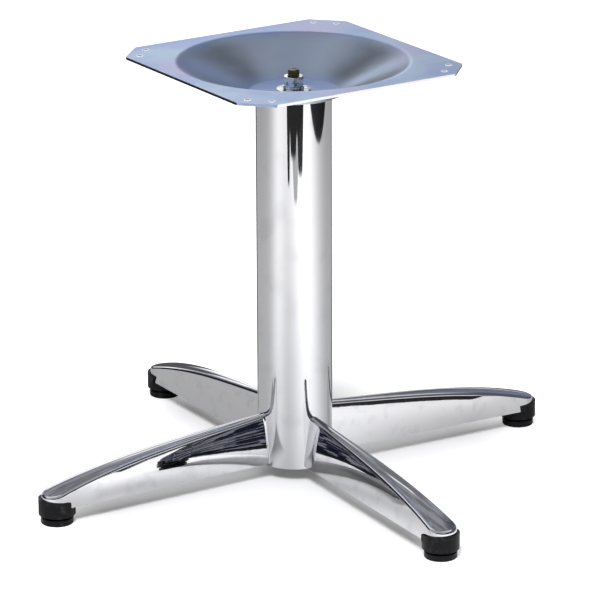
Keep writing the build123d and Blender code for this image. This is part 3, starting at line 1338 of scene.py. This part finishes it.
    def skin(self) -> bpy.types.Object:
        """Lays a grid over the outer form, from one root round the tip to the other.

        Returns:
            The leg's outer skin.
        """
        rows = self.wall_rows + self.ridge_rows + self.top_rows
        half = self.side_stations + self.tip_stations // 2
        piece = start_piece(
            f"leg_{self.corner.tag}_chromed",
            lambda: bpy.ops.mesh.primitive_grid_add(
                x_subdivisions=2 * half, y_subdivisions=rows, size=1.0
            ),
        )
        starts = [self.root(row) for row in range(rows + 1)]
        heading = radians(self.turn + self.corner.value)
        turned = Matrix.Rotation(heading, 3, "Z")
        points = []
        for row in range(rows + 1):
            side = []
            for station in range(half + 1):
                if station <= self.side_stations:
                    share = station / self.side_stations
                    along = starts[row] + (1.0 - starts[row]) * share
                else:
                    along = 1.0 + (station - self.side_stations) / (half - self.side_stations)
                side.append(self.section(along, row))
            other = [Vector((p.x, -p.y, p.z)) for p in reversed(side[:-1])]
            points.extend(turned @ p * MM for p in side + other)
        for vertex, point in zip(piece.data.vertices, points):
            vertex.co = point
        mend_mesh(piece, 0.02)
        return piece

    def build(self, material: bpy.types.Material) -> None:
        """Models the leg as a sheet with real thickness.

        Args:
            material: what the leg is made of.
        """
        piece = self.skin()
        if piece.data.polygons[0].normal.z < -0.5:
            piece.data.flip_normals()
        add_modifier(piece, "SOLIDIFY", thickness=self.sheet * MM, offset=-1.0, use_even_offset=True)
        shade(piece, 40.0)
        dress(piece, material, "base", [f"leg_{self.corner.tag}"])


@dataclass
class Foot:
    """The moulded pieces under a leg's tip: its end cap and the glide's pad."""

    corner: Corner
    cap_edge: float = 0.4
    pad_edge: float = 0.35

    def build(self, cap_plastic: bpy.types.Material, glide_plastic: bpy.types.Material) -> None:
        """Softens the edges of both pieces and dresses them.

        Args:
            cap_plastic: what the end cap is made of.
            glide_plastic: what the pad is made of.
        """
        tag = self.corner.tag
        cap, pad = f"end_cap_{tag}", f"glide_pad_{tag}"
        dress(softened(cap, self.cap_edge), cap_plastic, "base", [cap])
        dress(softened(pad, self.pad_edge), glide_plastic, f"pad_{tag}", [pad])


@dataclass
class ClampHardware:
    """The nuts and washers on both ends of the tie rod."""

    edge: float = 0.15
    nodes: tuple = ("top_nut", "top_washer", "lock_washer", "bottom_nut", "bottom_washer")

    def build(self, material: bpy.types.Material) -> None:
        """Softens the edges of the pieces and dresses them.

        Args:
            material: what they are made of.
        """
        for node in self.nodes:
            dress(softened(node, self.edge), material, "base", [node])


@dataclass(frozen=True)
class Card:
    """A lit or dark card of the room, by the directions in which the base reflects it.

    Left and right are directions in plan, low and high elevations, and soft the blur of the
    edges, all in degrees. Clutter is how much of the card a finer pattern breaks up, and grain
    is how fine that pattern is.
    """

    left: float
    right: float
    low: float
    high: float
    colour: Colour
    soft: float = 3.0
    clutter: float = 0.0
    grain: float = 90.0

    def mask(self, graph: Graph, turn: Sock, rise: Sock) -> Sock:
        """1 where a direction meets the card, with soft edges.

        Args:
            graph: the world's graph.
            turn: the direction in plan, in degrees.
            rise: its elevation, in degrees.

        Returns:
            The mask.
        """
        middle, half = (self.left + self.right) / 2, abs(self.left - self.right) / 2
        aside = graph.apart(turn, middle)
        across = 1.0 - graph.ramp_between(aside, half - self.soft, half + self.soft)
        above = graph.ramp_between(rise, self.low - self.soft, self.low + self.soft)
        below = 1.0 - graph.ramp_between(rise, self.high - self.soft, self.high + self.soft)
        return across * above * below

    def tint(self, graph: Graph, place: bpy.types.NodeSocket, clutter: Colour) -> "Sock | Colour":
        """The card's colour, broken up by clutter where it has some.

        Args:
            graph: the world's graph.
            place: directions as coordinates.
            clutter: colour of the clutter.

        Returns:
            The colour.
        """
        if not self.clutter:
            return self.colour
        patches = Patches(self.grain, 0.47, 0.58, 3.0)
        return graph.blend(patches.mask(graph, place) * self.clutter, self.colour, clutter)


@dataclass(frozen=True)
class Streak:
    """A dark streak on the floor, as reflections show it.

    It runs out from the base in a direction in degrees and starts at a distance in metres. Half
    is half its width there, grow what that gains with each metre, and depth how much light it
    takes.
    """

    direction: float
    start: float
    half: float
    grow: float
    depth: float

    def shadow(self, graph: Graph, x: Sock, y: Sock) -> Sock:
        """How much light the streak takes.

        Args:
            graph: the floor's graph.
            x: place on the floor, in metres.
            y: place on the floor, across.

        Returns:
            The share, 0 outside the streak.
        """
        along_x, along_y = cos(radians(self.direction)), sin(radians(self.direction))
        along = x * along_x + y * along_y - self.start
        across = graph.math("ABSOLUTE", x * along_y - y * along_x)
        inside = along * self.grow + self.half - across
        shown = graph.ramp_between(inside, 0.0, 0.015) * graph.ramp_between(along, 0.0, 0.05)
        return shown * self.depth


@dataclass(frozen=True)
class Lamp:
    """A square soft lamp that faces the base: place and side in metres, power in watts."""

    name: str
    place: tuple[float, float, float]
    size: float
    power: float
    aim_height: float = 0.15

    def build(self) -> None:
        """Hangs the lamp, unseen in reflections."""
        data = bpy.data.lights.new(self.name, "AREA")
        data.size = self.size
        data.energy = self.power
        lamp = bpy.data.objects.new(self.name, data)
        lamp.visible_glossy = False
        lamp.location = self.place
        aim = Vector((0, 0, self.aim_height)) - Vector(self.place)
        lamp.rotation_euler = aim.to_track_quat("-Z", "Y").to_euler()
        bpy.context.scene.collection.objects.link(lamp)


@dataclass
class Studio:
    """Camera, floor, lamps and surroundings."""

    azimuth: float = -32.98
    elevation: float = 18.23
    distance: float = 3955.6
    lens: float = 234.86
    sensor: float = 36.0
    target_height: float = 184.05
    side_shift: float = 5.62
    roll: float = -0.21
    far_clip: float = 100.0
    floor_size: float = 30.0
    floor_colour: Colour = (0.86, 0.86, 0.87)
    lift_near: Colour = (0.09, 0.09, 0.09)
    lift_far: Colour = (0.62, 0.62, 0.62)
    lift_from: float = 0.20
    lift_to: float = 0.35
    floor_dim: float = 0.45
    floor_dark: float = 0.015
    near_shade: float = 0.88
    near_from: float = 0.05
    near_to: float = 0.80
    floor_glows: tuple = (Lobe(-84.0, 44.0, 0.57), Lobe(-172.0, 22.0, 0.30))
    edge_direction: float = -42.0
    edge_distance: float = 1.27
    edge_soft: float = 0.02
    edge_depth: float = 0.97
    floor_streaks: tuple = (
        Streak(-120.0, 1.30, 0.560, 0.20, 0.97),
        Streak(-138.5, 1.08, 0.055, 0.20, 0.97),
        Streak(-124.5, 1.20, 0.160, 0.50, 0.97),
        Streak(-103.5, 1.12, 0.110, 0.45, 0.97),
        Streak(-118.0, 1.00, 0.070, 0.60, 0.60),
        Streak(58.0, 0.15, 0.120, 0.50, 0.78),
        Streak(168.0, 0.085, 0.100, -0.35, 0.55),
    )
    sky_low: float = 0.12
    sky_high: float = 0.82
    sky_top: float = 75.0
    room_colour: Colour = (0.40, 0.41, 0.43)
    clutter_colour: Colour = (0.32, 0.33, 0.36)
    cards: tuple = (
        Card(106.0, 49.0, -90.0, 20.0, (1.22, 1.23, 1.25)),
        Card(112.0, 60.0, -90.0, 12.5, (0.10, 0.10, 0.11), 1.5),
        Card(-48.0, -68.0, 0.3, 20.0, (0.9, 0.9, 0.92), 0.5),
        Card(150.0, 84.0, 38.0, 78.0, (0.95, 0.95, 0.97), 4.0),
        Card(30.0, -30.0, 42.0, 78.0, (0.75, 0.75, 0.78), 4.0),
        Card(82.0, 32.0, 48.0, 90.0, (0.15, 0.155, 0.17), 6.0, 0.9, 12.0),
        Card(55.0, -64.0, 3.0, 48.0, (0.06, 0.06, 0.065), 3.0, 0.5),
        Card(50.0, 18.0, 3.0, 34.0, (0.17, 0.20, 0.30), 4.0),
        Card(106.0, 38.0, 21.0, 54.0, (0.19, 0.195, 0.21), 2.0, 1.0, 9.0),
        Card(68.0, 52.0, 24.0, 29.5, (1.1, 1.1, 1.12), 2.0),
        Card(52.0, 46.0, 35.0, 37.5, (1.0, 1.0, 1.02), 0.8),
        Card(152.0, 96.0, -1.0, 34.0, (0.02, 0.02, 0.03), 1.5),
        Card(-85.0, -160.0, -4.0, 30.0, (0.010, 0.012, 0.028), 1.5, 0.8),
        Card(-64.0, -86.0, 8.0, 40.0, (0.02, 0.02, 0.03), 1.5),
    )
    lamps: tuple = (
        Lamp("key_lamp", (-1.3, -1.5, 2.2), 0.7, 78.0),
        Lamp("fill_lamp", (0.9, 1.3, 2.0), 1.2, 8.0),
    )

    def camera(self) -> None:
        """Places the camera at the photo's viewpoint."""
        turn, rise = radians(self.azimuth), radians(self.elevation)
        back = Vector((sin(turn) * cos(rise), -cos(turn) * cos(rise), sin(rise)))
        right = Vector((cos(turn), sin(turn), 0.0))
        up = back.cross(right)
        eye = Vector((0, 0, self.target_height)) + right * self.side_shift + back * self.distance
        lean = radians(self.roll)
        rolled_right = right * cos(lean) + up * sin(lean)
        rolled_up = up * cos(lean) - right * sin(lean)
        data = bpy.data.cameras.new("camera")
        data.lens = self.lens
        data.sensor_width = self.sensor
        data.clip_end = self.far_clip
        camera = bpy.data.objects.new("camera", data)
        turned = Matrix((rolled_right, rolled_up, back)).transposed().to_4x4()
        camera.matrix_world = Matrix.Translation(eye * MM) @ turned
        bpy.context.scene.collection.objects.link(camera)
        bpy.context.scene.camera = camera

    def floor(self) -> None:
        """Lays the pale floor: white to the camera, with a painted glow away from the base that washes
        out cast shadows there, and in reflections a painted brightness, brighter towards the front.
        """
        floor = start_piece(
            "floor", lambda: bpy.ops.mesh.primitive_plane_add(size=self.floor_size, location=(0, 0, 0))
        )
        material = bpy.data.materials.new("floor")
        material.use_nodes = True
        graph = Graph(material.node_tree)
        x, y, _ = graph.axes(graph.place())
        plain = graph.node("ShaderNodeBsdfDiffuse", None, {"Color": (*self.floor_colour, 1.0)})
        # Painted light: the floor glows more from lift_from to lift_to away from the base, which washes
        # out cast shadows there.
        painted_glow_share = graph.ramp_between(graph.length(x, y), self.lift_from, self.lift_to)
        white = graph.blend(painted_glow_share, self.lift_near, self.lift_far)
        lift = graph.node("ShaderNodeEmission", None, {"Color": white, "Strength": 1.0})
        seen = graph.node("ShaderNodeAddShader", None, {0: plain.outputs[0], 1: lift.outputs[0]})
        level = self.floor_level(graph, x, y)
        mirrored = graph.node("ShaderNodeBsdfDiffuse", None, {"Color": level})
        shown = graph.by_ray(seen, mirrored, plain)
        graph.node("ShaderNodeOutputMaterial", None, {"Surface": shown})
        floor.data.materials.append(material)

    def floor_level(self, graph: Graph, x: Sock, y: Sock) -> Sock:
        """How bright the floor shows in reflections, by its direction and distance from the base.

        Args:
            graph: the floor's graph.
            x: place on the floor, in metres.
            y: place on the floor, across.

        Returns:
            The brightness.
        """
        turn = graph.heading(x, y)
        level = sum(glow.level(graph, turn) for glow in self.floor_glows) + self.floor_dim
        near = graph.ramp_between(graph.length(x, y), self.near_from, self.near_to)
        level = level * (near * (1.0 - self.near_shade) + self.near_shade)
        edge_x, edge_y = cos(radians(self.edge_direction)), sin(radians(self.edge_direction))
        edge_end = self.edge_distance + self.edge_soft
        beyond = graph.ramp_between(x * edge_x + y * edge_y, self.edge_distance, edge_end)
        level = level * (1.0 - beyond * self.edge_depth)
        for streak in self.floor_streaks:
            level = level * (1.0 - streak.shadow(graph, x, y))
        return graph.math("MAXIMUM", level, self.floor_dark)

    def world(self) -> None:
        """Sets the surroundings: white to the camera, plain light, and cards in reflections."""
        world = bpy.data.worlds.new("surroundings")
        bpy.context.scene.world = world
        world.use_nodes = True
        graph = Graph(world.node_tree)
        place = graph.node("ShaderNodeTexCoord").outputs["Generated"]
        x, y, z = graph.axes(place)
        turn = graph.heading(x, y)
        rise = graph.math("ARCSINE", z) * (180 / pi)
        room = self.room_colour
        for card in self.cards:
            tint = card.tint(graph, place, self.clutter_colour)
            room = graph.blend(card.mask(graph, turn, rise), room, tint)
        sky = graph.ramp_between(rise, 0.0, self.sky_top) * (self.sky_high - self.sky_low) + self.sky_low
        white = (1.0, 1.0, 1.0, 1.0)
        mirrored = graph.node("ShaderNodeBackground", None, {"Color": room, "Strength": 1.0})
        light = graph.node("ShaderNodeBackground", None, {"Color": white, "Strength": sky})
        seen = graph.node("ShaderNodeBackground", None, {"Color": white, "Strength": 1.0})
        shown = graph.by_ray(seen, mirrored, light)
        graph.node("ShaderNodeOutputWorld", None, {"Surface": shown})

    def build(self) -> None:
        """Sets the whole stage."""
        self.camera()
        self.floor()
        self.world()
        for lamp in self.lamps:
            lamp.build()
        bpy.context.scene.view_settings.view_transform = "Standard"


# The legs' chrome has stronger waves and finer grey blotches, which stand for a mottled painted
# reflection as well as smudges.
LEG_CHROME = ChromeFinish(
    "leg_chrome",
    smudge_and_reflection=0.30,
    smudges_and_reflections=Patches(80.0, 0.50, 0.70, 5.0),
    grain=(1.0, 1.0, 1.0),
    wave_height=0.00009,
    wave_scale=19.0,
    ripple_height=0.000005,
    ripple_scale=95.0,
)
# The threaded rod's finish: dark brass, with the same small dark patches of painted reflection.
OILED_THREAD = HardwareFinish(
    "oiled_thread", colour=(0.20, 0.165, 0.10), dark=(0.05, 0.045, 0.035), roughness=0.25, painted_reflection=0.8
)
GLIDE_PLASTIC = PlasticFinish("glide_plastic")


def dress_packed(materials: dict[Slot, bpy.types.Material]) -> None:
    """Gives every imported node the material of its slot.

    Args:
        materials: one for each slot.
    """
    for row in frame["record"]["subparts"]:
        node = frame["nodes"][row["node"]]
        node.data.materials.clear()
        node.data.materials.append(materials[Slot(row["material_slot"])])


def main() -> None:
    """Builds and dresses every piece in order."""
    logging.basicConfig(level=logging.INFO, format="%(message)s")
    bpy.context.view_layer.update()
    materials = {
        Slot.CHROME: ChromeFinish().material(),
        Slot.ZINC_PLATE: ZincPlateFinish().material(),
        Slot.ZINC_STEEL: HardwareFinish().material(),
        Slot.CAP_PLASTIC: PlasticFinish().material(),
        Slot.GLIDE_PLASTIC: GLIDE_PLASTIC.material(),
    }
    leg_chrome = LEG_CHROME.material()
    dress_packed(materials)
    TopPlate().build(materials[Slot.ZINC_PLATE])
    TieRod().build(OILED_THREAD.material())
    ColumnTube().build(materials[Slot.CHROME])
    for corner in Corner:
        Leg(corner).build(leg_chrome)
        Foot(corner).build(materials[Slot.CAP_PLASTIC], materials[Slot.GLIDE_PLASTIC])
        GlideStud(corner).build(materials[Slot.ZINC_STEEL])
    ClampHardware().build(materials[Slot.ZINC_STEEL])
    Studio().build()


if __name__ == "__main__":
    main()
